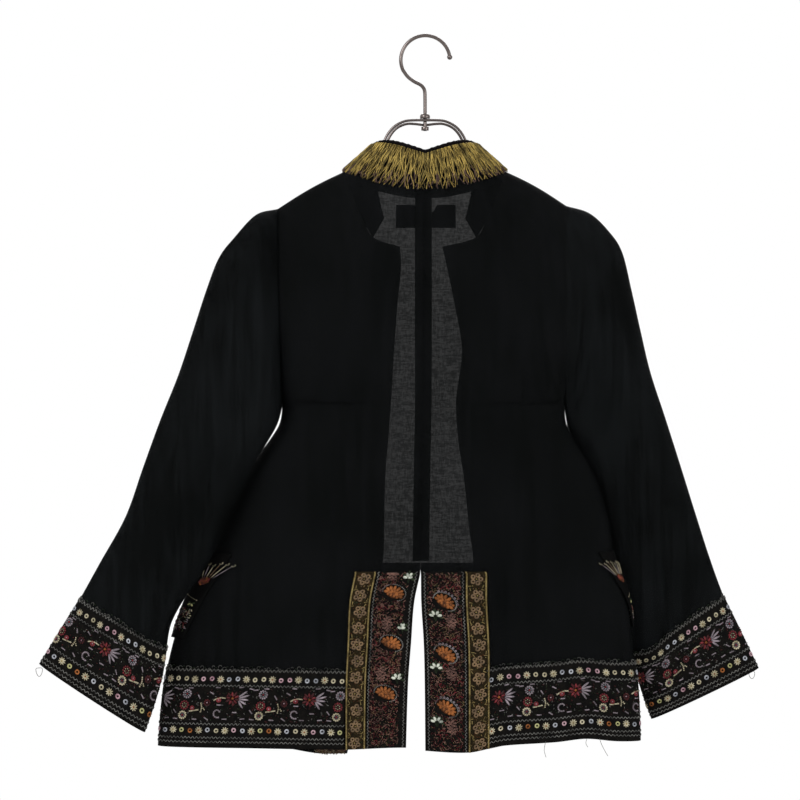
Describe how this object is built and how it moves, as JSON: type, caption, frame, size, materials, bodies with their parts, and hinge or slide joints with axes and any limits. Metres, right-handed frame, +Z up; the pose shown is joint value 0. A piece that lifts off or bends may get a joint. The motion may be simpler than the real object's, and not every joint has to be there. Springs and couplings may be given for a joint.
{
  "type": "embroidered jacket on a hanger",
  "caption": "Black sheer jacket with a gold-fringed stand collar and sequin-embroidered hem, cuff and vent bands, hung with open fronts on a wire hanger",
  "frame": {"origin": "The inside top of the hanger's hook, where the rail carries it.", "axes": "+Z up. +X to the right as seen from behind the jacket, across its width. -Y is the way the jacket's back faces, so its open fronts face +Y."},
  "size_m": [0.7939, 0.1271, 0.7957],
  "materials": {
    "black_voile": "plain-woven sheer voile, slightly crinkled, soft sheen",
    "embroidered_band": "black ground with sequins, daisies, rosettes and stitched stars",
    "gold_corded_band": "dark ground, gold cord edges, petal sequins and bugle beads",
    "gold_fringe": "gold beaded thread fringe with darker tips",
    "black_binding": "black bias binding",
    "label_satin": "bare black satin label",
    "plated_steel": "black-nickel plated wire, glossy"
  },
  "bodies": {
    "root": {"back_left": "black_voile", "front_left": "black_voile", "sleeve_left": "black_voile", "back_right": "black_voile", "front_right": "black_voile", "sleeve_right": "black_voile", "collar": "black_voile", "vent_band_left": "embroidered_band", "vent_gold_left": "gold_corded_band", "vent_facing_left": "black_voile", "front_band_left": "embroidered_band", "hem_back_left": "embroidered_band", "hem_front_left": "embroidered_band", "cuff_band_left": "embroidered_band", "seam_allowance_left": "black_voile", "pocket_welt_left": "embroidered_band", "vent_band_right": "embroidered_band", "vent_gold_right": "gold_corded_band", "vent_facing_right": "black_voile", "front_band_right": "embroidered_band", "hem_back_right": "embroidered_band", "hem_front_right": "embroidered_band", "cuff_band_right": "embroidered_band", "seam_allowance_right": "black_voile", "pocket_welt_right": "embroidered_band", "neck_tape": "black_voile", "neck_label": "label_satin", "collar_binding": "black_binding", "collar_fringe": "gold_fringe", "hanger_hook": "plated_steel", "hanger_nut": "plated_steel", "hanger_lock_nut": "plated_steel", "hanger_wire_back": "plated_steel", "hanger_wire_front": "plated_steel"}
  },
  "joints": []
}
